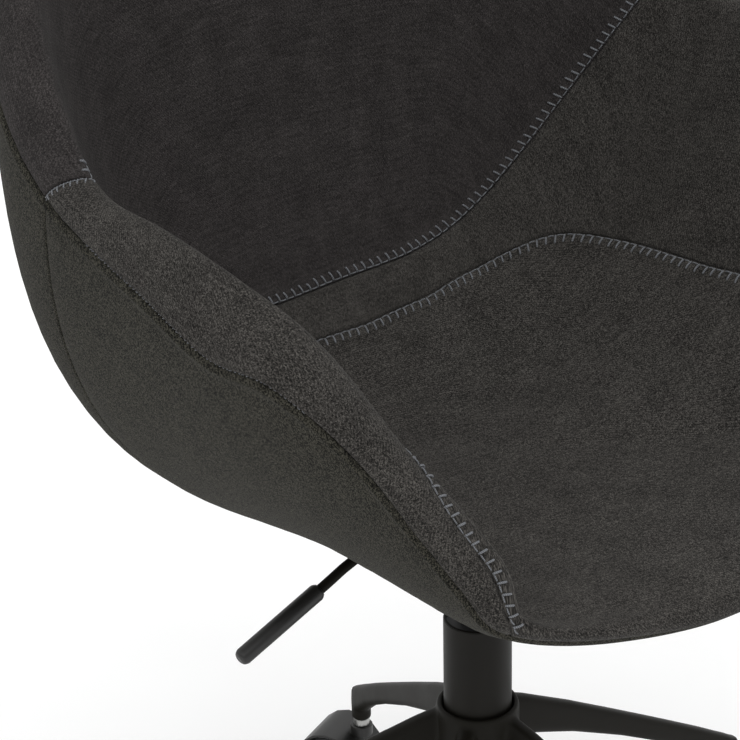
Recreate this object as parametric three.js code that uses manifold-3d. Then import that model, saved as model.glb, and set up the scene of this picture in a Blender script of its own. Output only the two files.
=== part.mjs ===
// Upholstered bucket-seat swivel chair on a five-star castor base.
// Millimetres, +Z up. The origin is on the floor, under the column's axis.
// The chair faces -Y, and the sitter's right hand is on the -X side.
import * as THREE from "three";
import { mergeVertices } from "three/addons/utils/BufferGeometryUtils.js";
import Module from "manifold-3d";

const wasm = await Module();
wasm.setup();

// ---------------------------------------------------------------- driving dimensions

const GAP = 0.3; // clearance left between pieces that touch
const SEAM_STEP = 0.7; // how far each cover stays back from its seams
const CORE_GAP = 0.6; // clearance between the covers' padding and the core

const BASE = {
  arms: 5,
  firstArmDegrees: -2.2,
  hubRadius: 30.2,
  hubTop: 231,
  hubBottom: 168,
  boreRadius: 25.5,
  mouthRadius: 26.7,
  stemRadius: 255,
  armWidth: 16,
  armTopAtHub: 227,
  armTopAtTip: 98,
  armDepthAtHub: 36,
  armDepthAtTip: 14,
  legRadius: 7.4,
  legBottom: 66,
};

const COLUMN = {
  tubeRadius: 25,
  tubeBore: 23,
  tubeTop: 302,
  tubeBottom: 124,
  floorThickness: 4,
  floorHole: 7,
  bushBore: 14.4,
  bushDepth: 60,
  cylinderRadius: 14,
  cylinderBottom: 165,
  cylinderTop: 361,
  cylinderBore: 6,
  rodRadius: 5,
  rodTop: 290,
  rodBottom: 112,
};

const MECHANISM = {
  plateTop: 386.4,
  plateThickness: 4,
  plateWidth: 200,
  plateDepth: 180,
  boltSpacingX: 160,
  boltSpacingY: 140,
  boxWidth: 112,
  boxDepth: 84,
  boxBottom: 338,
  sheet: 3,
  socketRadius: 19,
};

const LEVER = {
  y: 28,
  height: 372,
  pivotX: -30,
  rodRadius: 3.8,
  bendX: -90,
  gripStartX: -124,
  gripEndX: -197,
  slopeDegrees: 20.5,
  gripRadius: 6.4,
};

const CASTOR = {
  headings: [100, 112, 20, 66, 250], // degrees, the way each castor trails
  trail: 20,
  wheelRadius: 25,
  wheelWidth: 17,
  wheelFacets: 20,
  halfGap: 4.4,
  axleRadius: 3.1,
  hoodInner: 26.2,
  hoodOuter: 28.8,
  hoodWidth: 44,
  bossRadius: 9,
  bossTop: 59.6,
  stemRadius: 5.5,
  collarRadius: 6.6,
  collarHeight: 5.8,
};

// The seat shell is a smooth loop of ribs. Each list runs from the middle of the front edge, along the
// sitter's left side, to the middle of the back. The right side mirrors it.
const SHELL = {
  innerRim: [
    [0, -256, 446], [105, -257, 455], [183, -249, 480], [192, -230, 522], [226, -168, 598],
    [251, -124, 655], [265, -66, 680], [271, -4, 692], [267, 67, 696], [250, 140, 749],
    [222, 197, 796], [175, 233, 840], [95, 249, 853], [0, 252, 856],
  ],
  outerRim: [
    [0, -265, 426.5], [108, -258, 443.5], [196, -246, 476], [220, -226, 512], [258, -180, 592],
    [289, -136, 638], [297, -82, 641], [299, -19, 662], [290, 87, 686], [273, 162, 726],
    [239, 219, 774], [188, 254, 828], [98, 269, 850], [0, 272, 855],
  ],
  innerFoot: [
    [0, -150, 446], [100, -150, 446], [178, -165, 448], [200, -150, 454], [208, -118, 456],
    [212, -80, 456], [214, -35, 456], [212, 20, 456], [205, 90, 456], [185, 140, 456],
    [155, 175, 456], [110, 190, 456], [58, 197, 456], [0, 200, 456],
  ],
  outerFoot: [
    [0, -190, 399], [102, -190, 404], [158, -184, 425], [198, -168, 436], [228, -110, 435],
    [240, -64, 436], [247, -18, 434], [265, 47, 420], [284, 121, 398], [284, 174, 388],
    [239, 204, 391], [188, 217, 388], [100, 228, 388], [0, 232, 390],
  ],
  innerCentre: [0, -30, 447],
  outerCentre: [0, 0, 388],
  innerFootPull: 0.86,
  innerWallPull: 0.72,
  outerFootPull: 0.7,
  outerWallPull: 0.66,
  undersideRise: 0.2, // how much of the outer foot's rise the flat underside takes
  rimCrownInner: 14,
  rimCrownOuter: 12,
};
const BACK = SHELL.innerRim.length - 1; // station of the middle of the back
const CORNER = 2; // station of the seat's front corner
const CROSS_SEAM = 8.1; // station where arm and back meet
const UNDERSIDE_EDGE = 2.55; // place down the outside where the underside cover starts

const PADDING = { edge: 5, edgeShare: 0.16, seat: 26, outside: 5 };

const COLOURS = {
  fabric: 0x373634,
  fabricOutside: 0x3a3935,
  core: 0x6b5a45,
  blackSteel: 0x1d1d1b,
  column: 0x232321,
  brightSteel: 0xb9b8b2,
  blackPlastic: 0x141413,
  greyPlastic: 0x2a2a29,
  rubber: 0x101010,
};

// ---------------------------------------------------------------- helpers

const chair = new THREE.Group();

function material(colour, roughness, metalness) {
  return new THREE.MeshStandardMaterial({ color: colour, roughness, metalness });
}

const FABRIC = material(COLOURS.fabric, 0.95, 0);
const FABRIC_OUTSIDE = material(COLOURS.fabricOutside, 0.95, 0);
const CORE = material(COLOURS.core, 0.8, 0);
const BLACK_STEEL = material(COLOURS.blackSteel, 0.45, 0.4);
const COLUMN_PAINT = material(COLOURS.column, 0.5, 0.4);
const BRIGHT_STEEL = material(COLOURS.brightSteel, 0.3, 0.9);
const BLACK_PLASTIC = material(COLOURS.blackPlastic, 0.45, 0);
const GREY_PLASTIC = material(COLOURS.greyPlastic, 0.5, 0);
const RUBBER = material(COLOURS.rubber, 0.9, 0);

function add(name, geometry, mat, parent = chair) {
  const mesh = new THREE.Mesh(geometry, mat);
  mesh.name = name;
  parent.add(mesh);
  return mesh;
}

// A turned piece about +Z from [radius, height] points listed so that the faces point out.
function turned(points, segments = 32) {
  const profile = points.map(([r, z]) => new THREE.Vector2(r, z));
  return new THREE.LatheGeometry(profile, segments).rotateX(Math.PI / 2);
}

// A ring with a square section.
function ring(inner, outer, low, high, segments = 32) {
  return turned([[inner, low], [outer, low], [outer, high], [inner, high], [inner, low]], segments);
}

// A solid round bar standing on the Z axis.
function bar(radius, low, high, segments = 24) {
  const height = high - low;
  return new THREE.CylinderGeometry(radius, radius, height, segments)
    .rotateX(Math.PI / 2)
    .translate(0, 0, (low + high) / 2);
}

function block(sizeX, sizeY, sizeZ, x, y, z) {
  return new THREE.BoxGeometry(sizeX, sizeY, sizeZ).translate(x, y, z);
}

// A flat outline in the XZ plane, with its thickness centred on Y.
function slab(points, thickness, bevel = 0) {
  const outline = new THREE.Shape(points.map(([x, z]) => new THREE.Vector2(x, z)));
  const geometry = new THREE.ExtrudeGeometry(outline, {
    depth: thickness - 2 * bevel,
    bevelEnabled: bevel > 0,
    bevelThickness: bevel,
    bevelSize: bevel,
    bevelOffset: -bevel,
    bevelSegments: 1,
  });
  return geometry.translate(0, 0, bevel - thickness / 2).rotateX(Math.PI / 2);
}

function solid(geometry) {
  const bare = geometry.clone();
  bare.deleteAttribute("normal");
  bare.deleteAttribute("uv");
  const merged = mergeVertices(bare, 1e-4);
  return new wasm.Manifold(
    new wasm.Mesh({
      numProp: 3,
      vertProperties: merged.attributes.position.array,
      triVerts: new Uint32Array(merged.index.array),
    }),
  );
}

function geometryOf(body) {
  const mesh = body.getMesh();
  const geometry = new THREE.BufferGeometry();
  geometry.setAttribute("position", new THREE.BufferAttribute(mesh.vertProperties, 3));
  geometry.setIndex(new THREE.BufferAttribute(mesh.triVerts, 1));
  geometry.computeVertexNormals();
  return geometry;
}

function joined(geometries) {
  return geometries.map(solid).reduce((whole, piece) => whole.add(piece));
}

function cut(body, geometries) {
  return geometries.map(solid).reduce((whole, piece) => whole.subtract(piece), body);
}

const radians = THREE.MathUtils.degToRad;

// ---------------------------------------------------------------- five-star base

function armOutline() {
  const { hubRadius, stemRadius, armTopAtHub, armTopAtTip, armDepthAtHub, armDepthAtTip } = BASE;
  const tip = stemRadius + BASE.legRadius;
  const root = hubRadius - 6;
  const heel = stemRadius - BASE.legRadius;
  const points = [
    [root, armTopAtHub],
    [stemRadius - 4, armTopAtTip],
  ];
  for (const turn of [20, 50, 80]) {
    const a = radians(turn);
    points.push([tip - 10 + 10 * Math.sin(a), armTopAtTip - 13 + 10 * Math.cos(a)]);
  }
  points.push([tip, armTopAtTip - armDepthAtTip - 6], [heel, armTopAtTip - armDepthAtTip - 6]);
  points.push([heel - 2, armTopAtTip - armDepthAtTip - 1.5], [heel - 7, armTopAtTip - armDepthAtTip + 2]);
  points.push([root, armTopAtHub - armDepthAtHub]);
  return points.reverse();
}

function starBase() {
  const { hubRadius, hubTop, hubBottom, boreRadius, mouthRadius, stemRadius, legRadius, legBottom } = BASE;
  const hub = turned(
    [
      [0, hubBottom],
      [hubRadius - 1.2, hubBottom],
      [hubRadius, hubBottom + 4],
      [hubRadius, hubTop - 1.2],
      [hubRadius - 1, hubTop],
      [0, hubTop],
    ],
    32,
  );
  const pieces = [hub];
  const holes = [
    turned(
      [
        [0, hubBottom - 1],
        [boreRadius, hubBottom - 1],
        [boreRadius, hubTop - 5],
        [mouthRadius, hubTop - 3],
        [mouthRadius, hubTop + 1],
        [0, hubTop + 1],
      ],
      32,
    ),
  ];
  for (let i = 0; i < BASE.arms; i += 1) {
    const angle = radians(BASE.firstArmDegrees + (360 / BASE.arms) * i);
    const legTop = BASE.armTopAtTip - 6;
    pieces.push(slab(armOutline(), BASE.armWidth, 1.8).rotateZ(angle));
    pieces.push(bar(legRadius, legBottom, legTop, 16).translate(stemRadius, 0, 0).rotateZ(angle));
    holes.push(
      bar(CASTOR.stemRadius + GAP, legBottom - 1, legBottom + 25, 12)
        .translate(stemRadius, 0, 0)
        .rotateZ(angle),
    );
  }
  add("star_base", geometryOf(cut(joined(pieces), holes)), BLACK_STEEL);
}

// ---------------------------------------------------------------- gas-lift column

function column() {
  const c = COLUMN;
  const floorTop = c.tubeBottom + c.floorThickness;
  add(
    "outer_tube",
    turned(
      [
        [c.floorHole, c.tubeBottom],
        [c.tubeRadius - 2, c.tubeBottom],
        [c.tubeRadius, c.tubeBottom + 40],
        [c.tubeRadius, c.tubeTop - 1],
        [c.tubeRadius - 1, c.tubeTop],
        [c.tubeBore, c.tubeTop],
        [c.tubeBore, floorTop + 40],
        [c.tubeBore - 2, floorTop],
        [c.floorHole, floorTop],
        [c.floorHole, c.tubeBottom],
      ],
      32,
    ),
    COLUMN_PAINT,
  );
  add(
    "guide_bush",
    ring(c.bushBore, c.tubeBore - GAP, c.tubeTop - c.bushDepth, c.tubeTop - 2, 24),
    GREY_PLASTIC,
  );
  add(
    "gas_cylinder",
    turned(
      [
        [c.cylinderBore, c.cylinderBottom],
        [c.cylinderRadius, c.cylinderBottom],
        [c.cylinderRadius, c.cylinderTop - 24],
        [c.cylinderRadius - 1, c.cylinderTop],
        [4.6, c.cylinderTop],
        [4.6, c.cylinderTop - 14],
        [0, c.cylinderTop - 14],
        [0, c.rodTop + 10],
        [c.cylinderBore, c.rodTop + 10],
        [c.cylinderBore, c.cylinderBottom],
      ],
      24,
    ),
    COLUMN_PAINT,
  );
  add("piston_rod", bar(c.rodRadius, c.rodBottom, c.rodTop, 16), BRIGHT_STEEL);
  const bearing = [floorTop + GAP, floorTop + 7];
  add("thrust_bearing", ring(c.rodRadius + GAP, 15, bearing[0], bearing[1], 24), BRIGHT_STEEL);
  add(
    "rubber_buffer",
    ring(c.rodRadius + GAP, 11, bearing[1] + GAP, c.cylinderBottom - GAP, 24),
    RUBBER,
  );
  add("retaining_clip", ring(c.rodRadius + GAP, 9.5, c.tubeBottom - 2.5, c.tubeBottom - GAP, 20), BRIGHT_STEEL);
  const pinTop = LEVER.height - LEVER.rodRadius - GAP;
  add("release_pin", bar(4, c.cylinderTop - 14 + 4, pinTop, 16), BRIGHT_STEEL);
}

// ---------------------------------------------------------------- seat mechanism and lever

function boltPlaces() {
  const places = [];
  for (const x of [-1, 1]) {
    for (const y of [-1, 1]) {
      places.push([(x * MECHANISM.boltSpacingX) / 2, (y * MECHANISM.boltSpacingY) / 2]);
    }
  }
  return places;
}

function mechanism() {
  const m = MECHANISM;
  const plateBottom = m.plateTop - m.plateThickness;
  const plateHoles = boltPlaces().map(([x, y]) => bar(3.6, plateBottom - 1, m.plateTop + 1, 16).translate(x, y, 0));
  const corner = 16;
  const halfX = m.plateWidth / 2;
  const halfY = m.plateDepth / 2;
  const outline = [
    [-halfX + corner, -halfY], [halfX - corner, -halfY], [halfX, -halfY + corner], [halfX, halfY - corner],
    [halfX - corner, halfY], [-halfX + corner, halfY], [-halfX, halfY - corner], [-halfX, -halfY + corner],
  ];
  const sheet = new THREE.ExtrudeGeometry(new THREE.Shape(outline.map(([x, y]) => new THREE.Vector2(x, y))), {
    depth: m.plateThickness,
    bevelEnabled: false,
  }).translate(0, 0, plateBottom);
  add("seat_plate", geometryOf(cut(solid(sheet), plateHoles)), BLACK_STEEL);

  const top = plateBottom - GAP;
  const shell = solid(block(m.boxWidth, m.boxDepth, top - m.boxBottom, 0, 0, (top + m.boxBottom) / 2));
  const inside = block(
    m.boxWidth - 2 * m.sheet,
    m.boxDepth - 2 * m.sheet,
    top - m.boxBottom,
    0,
    0,
    (top + m.boxBottom) / 2 + m.sheet,
  );
  const socket = bar(m.socketRadius, m.boxBottom - 3, m.boxBottom + 18, 32);
  const leverSlot = block(40, 2 * LEVER.rodRadius + 5, 24, -m.boxWidth / 2, LEVER.y, LEVER.height + 1);
  const pivotHole = new THREE.CylinderGeometry(3.5, 3.5, m.boxDepth + 4, 16).translate(LEVER.pivotX, 0, 0);
  const cylinderHole = bar(COLUMN.cylinderRadius + GAP, m.boxBottom - 5, m.boxBottom + 20, 32);
  const housing = cut(cut(shell, [inside]).add(solid(socket)), [
    cylinderHole,
    leverSlot,
    pivotHole.translate(0, 0, LEVER.height),
  ]);
  add("mechanism_housing", geometryOf(housing), BLACK_STEEL);
  for (const [i, [x, y]] of boltPlaces().entries()) {
    const shank = bar(3, plateBottom - 1, m.plateTop + 14, 12);
    const head = bar(6.5, plateBottom - 5, plateBottom - GAP, 6);
    add(`plate_bolt_${i + 1}`, geometryOf(joined([shank, head])).translate(x, y, 0), BRIGHT_STEEL);
  }
}

// The grip end drops away at an angle after the bend.
function leverPoint(x) {
  const drop = Math.max(0, LEVER.bendX - x) * Math.tan(radians(LEVER.slopeDegrees));
  return new THREE.Vector3(x, LEVER.y, LEVER.height - drop);
}

function roundBar(radius, points, segments, steps) {
  const section = new THREE.Shape().absarc(0, 0, radius, 0, 2 * Math.PI);
  return new THREE.ExtrudeGeometry(section, {
    steps,
    curveSegments: segments,
    bevelEnabled: false,
    extrudePath: new THREE.CatmullRomCurve3(points, false, "centripetal"),
  });
}

function lever() {
  const l = LEVER;
  const rodPoints = [l.pivotX - 6, l.bendX + 12, l.bendX - 2, l.gripStartX + 4, l.gripEndX + 12].map(leverPoint);
  const paddle = slab(
    [[l.pivotX - 8, l.height - 3.8], [6, l.height - 3.8], [6, l.height + 2], [l.pivotX - 8, l.height + 2]],
    12,
  );
  const web = block(10, l.y + 8, 5.6, l.pivotX - 3, l.y / 2, l.height - 1);
  const pivotHole = new THREE.CylinderGeometry(3.2, 3.2, 120, 16).translate(l.pivotX, 0, l.height);
  const eye = new THREE.CylinderGeometry(6.5, 6.5, l.y + 14, 16).translate(l.pivotX, l.y / 2, l.height);
  const body = cut(joined([roundBar(l.rodRadius, rodPoints, 10, 14), paddle, web, eye]), [pivotHole]);
  add("lever_rod", geometryOf(body), BLACK_STEEL);
  const pin = new THREE.CylinderGeometry(2.9, 2.9, MECHANISM.boxDepth + 3, 16);
  add("lever_pivot_pin", pin.translate(l.pivotX, 0, l.height), BRIGHT_STEEL);
  const start = leverPoint(l.gripStartX);
  const end = leverPoint(l.gripEndX);
  const length = start.distanceTo(end);
  const r = l.gripRadius;
  const outline = [
    [0, 0], [r * 0.8, 0], [r, 2], [r, length - 4], [r * 0.85, length - 1.4], [r * 0.5, length], [0, length],
  ];
  const direction = end.clone().sub(start).normalize();
  const turn = new THREE.Quaternion().setFromUnitVectors(new THREE.Vector3(0, 0, 1), direction);
  const hole = bar(l.rodRadius + GAP, -1, length - 8, 16);
  const grip = geometryOf(cut(solid(turned(outline, 16)), [hole]));
  add("lever_grip", grip.applyQuaternion(turn).translate(start.x, start.y, start.z), BLACK_PLASTIC);
}

// ---------------------------------------------------------------- castors

function wheel() {
  const { wheelRadius, wheelWidth, wheelFacets, axleRadius } = CASTOR;
  const r = wheelRadius / Math.cos(Math.PI / wheelFacets);
  const half = wheelWidth / 2;
  const bore = axleRadius + GAP + 0.05;
  const outline = [
    [bore, -half], [r - 2, -half], [r, -half + 2], [r, half - 2], [r - 2, half], [bore, half], [bore, -half],
  ];
  return turned(outline, wheelFacets).rotateZ(Math.PI / wheelFacets).rotateX(Math.PI / 2);
}

function hood() {
  const c = CASTOR;
  const arc = [];
  const steps = 7;
  for (let i = 0; i <= steps; i += 1) {
    const a = radians(-5 + (155 / steps) * i);
    arc.push([c.trail + c.hoodOuter * Math.cos(a), c.wheelRadius + c.hoodOuter * Math.sin(a)]);
  }
  for (let i = steps; i >= 0; i -= 1) {
    const a = radians(-5 + (155 / steps) * i);
    arc.push([c.trail + c.hoodInner * Math.cos(a), c.wheelRadius + c.hoodInner * Math.sin(a)]);
  }
  const web = new THREE.CylinderGeometry(c.hoodInner + 1, c.hoodInner + 1, 2 * c.halfGap - 1.6, 20)
    .translate(c.trail, 0, c.wheelRadius);
  const boss = bar(c.bossRadius, 50.6, c.bossTop, 16);
  const body = cut(joined([slab(arc, c.hoodWidth), web, boss]), [
    bar(c.stemRadius + GAP, 52, c.bossTop + 1, 12),
    block(80, 80, 8, c.trail, 0, 0),
    new THREE.CylinderGeometry(c.axleRadius + GAP, c.axleRadius + GAP, 20, 12).translate(c.trail, 0, c.wheelRadius),
  ]);
  return geometryOf(body);
}

function castors() {
  const c = CASTOR;
  const hoodShape = hood();
  const wheelShape = wheel();
  const wheelPlace = c.halfGap + c.wheelWidth / 2;
  const axleShape = new THREE.CylinderGeometry(c.axleRadius, c.axleRadius, 2 * wheelPlace + c.wheelWidth - 4, 12);
  const collarLow = c.bossTop + GAP;
  const stemShape = turned(
    [
      [0, 52.4],
      [c.stemRadius, 52.4],
      [c.stemRadius, collarLow],
      [c.collarRadius, collarLow],
      [c.collarRadius, collarLow + c.collarHeight],
      [c.stemRadius, collarLow + c.collarHeight],
      [c.stemRadius, BASE.legBottom + 23],
      [0, BASE.legBottom + 24],
    ],
    12,
  );
  for (let i = 0; i < BASE.arms; i += 1) {
    const angle = radians(BASE.firstArmDegrees + (360 / BASE.arms) * i);
    const castor = new THREE.Group();
    castor.position.set(BASE.stemRadius * Math.cos(angle), BASE.stemRadius * Math.sin(angle), 0);
    castor.rotation.z = radians(c.headings[i]);
    chair.add(castor);
    const name = `castor_${i + 1}`;
    add(`${name}_stem`, stemShape, BRIGHT_STEEL, castor);
    add(`${name}_hood`, hoodShape, BLACK_PLASTIC, castor);
    add(`${name}_axle`, axleShape, BRIGHT_STEEL, castor).position.set(c.trail, 0, c.wheelRadius);
    add(`${name}_wheel_a`, wheelShape, GREY_PLASTIC, castor).position.set(c.trail, wheelPlace, c.wheelRadius);
    add(`${name}_wheel_b`, wheelShape, GREY_PLASTIC, castor).position.set(c.trail, -wheelPlace, c.wheelRadius);
  }
}

// ---------------------------------------------------------------- seat shell surface

// A smooth rail through its points at station u. Stations past the back come round the right side.
function rail(points, u) {
  const mirrored = u > BACK;
  const place = Math.min(mirrored ? 2 * BACK - u : u, BACK - 1e-9);
  const i = Math.floor(place);
  const t = place - i;
  const at = (k) => {
    if (k < 0) return [-points[-k][0], points[-k][1], points[-k][2]];
    if (k > BACK) {
      const p = points[2 * BACK - k];
      return [-p[0], p[1], p[2]];
    }
    return points[k];
  };
  const [a, b, c, d] = [at(i - 1), at(i), at(i + 1), at(i + 2)];
  const value = [0, 1, 2].map((k) => catmullRom(t, a[k], b[k], c[k], d[k]));
  return new THREE.Vector3(mirrored ? -value[0] : value[0], value[1], value[2]);
}

function catmullRom(t, a, b, c, d) {
  return 0.5 * (2 * b + (c - a) * t + (2 * a - 5 * b + 4 * c - d) * t * t + (3 * b - a - 3 * c + d) * t * t * t);
}

// The part of a wall's direction that is square to the rim it ends at.
function crown(points, u, direction) {
  const e = 0.01;
  const along = rail(points, u + e).sub(rail(points, u - e)).normalize();
  return direction.addScaledVector(along, -direction.dot(along));
}

// One rib of the shell at station u: s runs 0 to 1 up the inside, 1 to 2 over the rim, 2 to 3 down the outside.
function shellPoint(u, s) {
  const innerRim = rail(SHELL.innerRim, u);
  const outerRim = rail(SHELL.outerRim, u);
  const innerFoot = rail(SHELL.innerFoot, u);
  const outerFoot = rail(SHELL.outerFoot, u);
  if (s <= 1) {
    const centre = new THREE.Vector3(...SHELL.innerCentre);
    const foot = centre.clone().lerp(innerFoot, SHELL.innerFootPull);
    const wall = innerRim.clone().lerp(innerFoot, SHELL.innerWallPull);
    return new THREE.CubicBezierCurve3(centre, foot, wall, innerRim).getPoint(s);
  }
  if (s <= 2) {
    const up = crown(SHELL.innerRim, u, innerRim.clone().sub(innerFoot)).setLength(SHELL.rimCrownInner);
    const down = crown(SHELL.outerRim, u, outerRim.clone().sub(outerFoot)).setLength(SHELL.rimCrownOuter);
    return new THREE.CubicBezierCurve3(innerRim, up.add(innerRim), down.add(outerRim), outerRim).getPoint(s - 1);
  }
  const centre = new THREE.Vector3(...SHELL.outerCentre);
  const foot = centre.clone().lerp(outerFoot, SHELL.outerFootPull);
  foot.z = THREE.MathUtils.lerp(centre.z, outerFoot.z, SHELL.undersideRise);
  const wall = outerRim.clone().lerp(outerFoot, SHELL.outerWallPull);
  return new THREE.CubicBezierCurve3(outerRim, wall, foot, centre).getPoint(s - 2);
}

function shellNormal(u, s) {
  if (s <= 0) return new THREE.Vector3(0, 0, 1);
  if (s >= 3) return new THREE.Vector3(0, 0, -1);
  const e = 0.004;
  const along = shellPoint(u + e, s).sub(shellPoint((u - e + 2 * BACK) % (2 * BACK), s));
  const up = shellPoint(u, Math.min(3, s + e)).sub(shellPoint(u, Math.max(0, s - e)));
  return up.cross(along).normalize();
}

// Seam between the seat and the band round it: high along the arms, low behind the sitter.
function seatSeam(u) {
  const side = u > BACK ? 2 * BACK - u : u;
  if (side >= 8) return 0.33 + 0.225 * ((BACK - side) / 5) ** 2;
  const rising = [0.93, 0.93, 0.93, 0.91, 0.77, 0.65, 0.6, 0.575, 0.555];
  return THREE.MathUtils.lerp(rising[Math.floor(side)], rising[Math.ceil(side)], side % 1);
}

// Seam under the back cushion, rising from the middle of the back to both ends of the arms.
function backSeam(u) {
  const side = u > BACK ? 2 * BACK - u : u;
  if (side < CROSS_SEAM) return 0.96;
  return 0.415 + 0.545 * ((BACK - side) / (BACK - CROSS_SEAM)) ** 3.5;
}

// Padding depth under the cover.
function padding(u, s) {
  const rimWidth = rail(SHELL.innerRim, u).distanceTo(rail(SHELL.outerRim, u));
  const edge = Math.min(PADDING.edge, PADDING.edgeShare * rimWidth);
  if (s <= 1) return edge + (PADDING.seat - edge) * (1 - s) ** 3;
  if (s <= 2) return edge;
  return Math.min(edge, PADDING.outside);
}

// ---------------------------------------------------------------- seat shell pieces

const HALF_COLUMNS = [
  0, 0.7, 1.35, CORNER, 2.35, 2.7, 3.1, 3.6, 4.2, 4.9, 5.7, 6.5, 7.3, CROSS_SEAM, 8.6, 9.1, 9.7, 10.3, 10.9,
  11.5, 12.2, BACK,
];
const COLUMNS = HALF_COLUMNS.concat(
  HALF_COLUMNS.slice(1, -1)
    .reverse()
    .map((u) => 2 * BACK - u),
);
const ROW = { seatSeam: 5, backSeam: 7, innerRim: 9, outerRim: 12, underside: 15, last: 18 };

// The place s of grid row r on the rib at station u. Rows 0 and last are the two centres.
function rowPlace(u, r) {
  const seat = seatSeam(u);
  const back = backSeam(u);
  const seatShares = [0, 0.3, 0.55, 0.76, 0.9, 1];
  if (r <= ROW.seatSeam) return seat * seatShares[r];
  if (r <= ROW.backSeam) return THREE.MathUtils.lerp(seat, back, (r - ROW.seatSeam) / 2);
  if (r <= ROW.innerRim) return THREE.MathUtils.lerp(back, 1, (r - ROW.backSeam) / 2);
  if (r <= ROW.outerRim) return 1 + (r - ROW.innerRim) / (ROW.outerRim - ROW.innerRim);
  if (r <= ROW.underside) return 2 + ((UNDERSIDE_EDGE - 2) * (r - ROW.outerRim)) / (ROW.underside - ROW.outerRim);
  return UNDERSIDE_EDGE + ((3 - UNDERSIDE_EDGE) * (r - ROW.underside)) / (ROW.last - ROW.underside);
}

const wrap = (c) => (c + COLUMNS.length) % COLUMNS.length;

const GRID = COLUMNS.map((u) => {
  const rib = [];
  for (let r = 0; r <= ROW.last; r += 1) {
    const s = rowPlace(u, r);
    rib.push({ point: shellPoint(u, s), normal: shellNormal(u, s), depth: padding(u, s) });
  }
  return rib;
});

// One key for each grid point. All ribs share the two centre points.
function key(c, r) {
  return r === 0 || r === ROW.last ? `centre${r}` : `${wrap(c)},${r}`;
}

// The corners of a grid cell, anticlockwise seen from outside. A cell at a centre has three.
function cellCorners([c, r]) {
  const corners = [[c, r], [c, r + 1], [c + 1, r + 1], [c + 1, r]];
  if (r === 0) corners.splice(3, 1);
  if (r === ROW.last - 1) corners.splice(2, 1);
  return corners;
}

// Steps each border point square to its border, into the cover, which leaves a gap between neighbours.
function borderSteps(edges) {
  const inward = new Map();
  for (const [from, to] of edges) {
    const start = GRID[wrap(from[0])][from[1]];
    const end = GRID[wrap(to[0])][to[1]];
    const along = end.point.clone().sub(start.point);
    const square = start.normal.clone().add(end.normal).cross(along).normalize();
    for (const [c, r] of [from, to]) {
      const k = key(c, r);
      inward.set(k, [...(inward.get(k) ?? []), square]);
    }
  }
  const steps = new Map();
  for (const [k, [first, second]] of inward) {
    const spread = 1 + Math.max(-0.6, first.dot(second));
    steps.set(k, first.clone().add(second).multiplyScalar(SEAM_STEP / spread));
  }
  return steps;
}

function borderEdges(cells) {
  const edges = new Map();
  for (const cell of cells) {
    const corners = cellCorners(cell);
    corners.forEach((from, i) => {
      const to = corners[(i + 1) % corners.length];
      const back = `${key(...to)}>${key(...from)}`;
      if (edges.has(back)) edges.delete(back);
      else edges.set(`${key(...from)}>${key(...to)}`, [from, to]);
    });
  }
  return [...edges.values()];
}

function shellSolid(points, triangles) {
  const geometry = new THREE.BufferGeometry();
  const flat = points.flatMap((p) => [p.x, p.y, p.z]);
  geometry.setAttribute("position", new THREE.Float32BufferAttribute(flat, 3));
  geometry.setIndex(triangles);
  geometry.computeVertexNormals();
  return geometry;
}

function fan(ids) {
  return ids.length === 3 ? [ids[0], ids[1], ids[2]] : [ids[0], ids[1], ids[2], ids[0], ids[2], ids[3]];
}

// A padded cover over a set of cells: an outside skin, an inside skin and walls round its border.
function cover(cells) {
  const edges = borderEdges(cells);
  const steps = borderSteps(edges);
  const points = [];
  const outside = new Map();
  const inside = new Map();
  const triangles = [];
  const place = (c, r) => {
    const k = key(c, r);
    if (outside.has(k)) return;
    const { point, normal, depth } = GRID[wrap(c)][r];
    const top = point.clone().add(steps.get(k) ?? new THREE.Vector3());
    outside.set(k, points.push(top) - 1);
    inside.set(k, points.push(top.clone().addScaledVector(normal, -depth)) - 1);
  };
  for (const cell of cells) {
    const corners = cellCorners(cell);
    corners.forEach(([c, r]) => place(c, r));
    triangles.push(...fan(corners.map(([c, r]) => outside.get(key(c, r)))));
    triangles.push(...fan(corners.map(([c, r]) => inside.get(key(c, r)))).reverse());
  }
  for (const [from, to] of edges) {
    const [a, b] = [outside.get(key(...from)), outside.get(key(...to))];
    const [d, e] = [inside.get(key(...from)), inside.get(key(...to))];
    // Neighbouring covers split their shared wall along the same diagonal.
    if (key(...from) < key(...to)) triangles.push(b, a, d, b, d, e);
    else triangles.push(b, a, e, a, d, e);
  }
  return shellSolid(points, triangles);
}

// The moulded core under the padding. It has a flat top edge, so it skips the rows over the rim.
function core() {
  const points = [];
  const ids = new Map();
  const triangles = [];
  for (const [c, r] of cellsWhere(() => true)) {
    if (r >= ROW.innerRim && r < ROW.outerRim) continue;
    const corners = cellCorners([c, r]).map(([d, q]) => [d, q === ROW.innerRim ? ROW.outerRim : q]);
    for (const [d, q] of corners) {
      const k = key(d, q);
      if (ids.has(k)) continue;
      const { point, normal, depth } = GRID[wrap(d)][q];
      ids.set(k, points.push(point.clone().addScaledVector(normal, -depth - CORE_GAP)) - 1);
    }
    triangles.push(...fan(corners.map(([d, q]) => ids.get(key(d, q)))));
  }
  return shellSolid(points, triangles);
}

function cellsWhere(test) {
  const cells = [];
  COLUMNS.forEach((u, c) => {
    const next = c + 1 < COLUMNS.length ? COLUMNS[c + 1] : 2 * BACK;
    const middle = (u + next) / 2;
    const side = Math.min(middle, 2 * BACK - middle);
    for (let r = 0; r < ROW.last; r += 1) {
      if (test({ side, left: middle < BACK, r })) cells.push([c, r]);
    }
  });
  return cells;
}

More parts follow.
